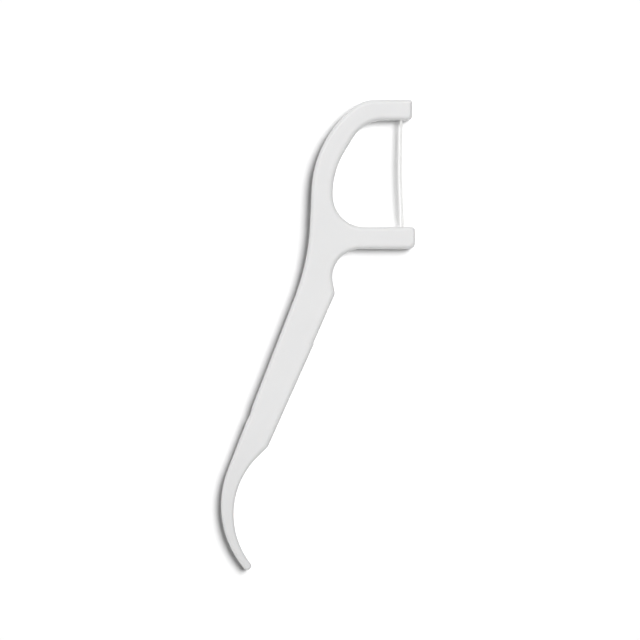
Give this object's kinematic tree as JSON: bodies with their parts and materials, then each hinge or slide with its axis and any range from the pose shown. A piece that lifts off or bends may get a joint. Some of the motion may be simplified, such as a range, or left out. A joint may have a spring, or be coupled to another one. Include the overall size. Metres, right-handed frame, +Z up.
{
  "type": "floss pick",
  "caption": "Flat moulded floss pick: a bow with two prongs holds a taut strand of floss, and the slanted handle ends in a curved toothpick.",
  "frame": {"origin": "centre of the whole pick's outline rectangle, on the surface that its flat underside lies on", "axes": "+X along the two prongs towards their free ends, +Y along the strand towards the upper prong, +Z up through the thickness, out of the upper face"},
  "size_m": [0.03, 0.0728, 0.0021],
  "materials": {
    "frame_plastic": "satin white injection-moulded plastic",
    "floss_fibre": "white bundle of fine drawn filaments, lightly waxed"
  },
  "bodies": {
    "root": {"moulded_frame": "frame_plastic", "floss_strand": "floss_fibre"}
  },
  "joints": []
}
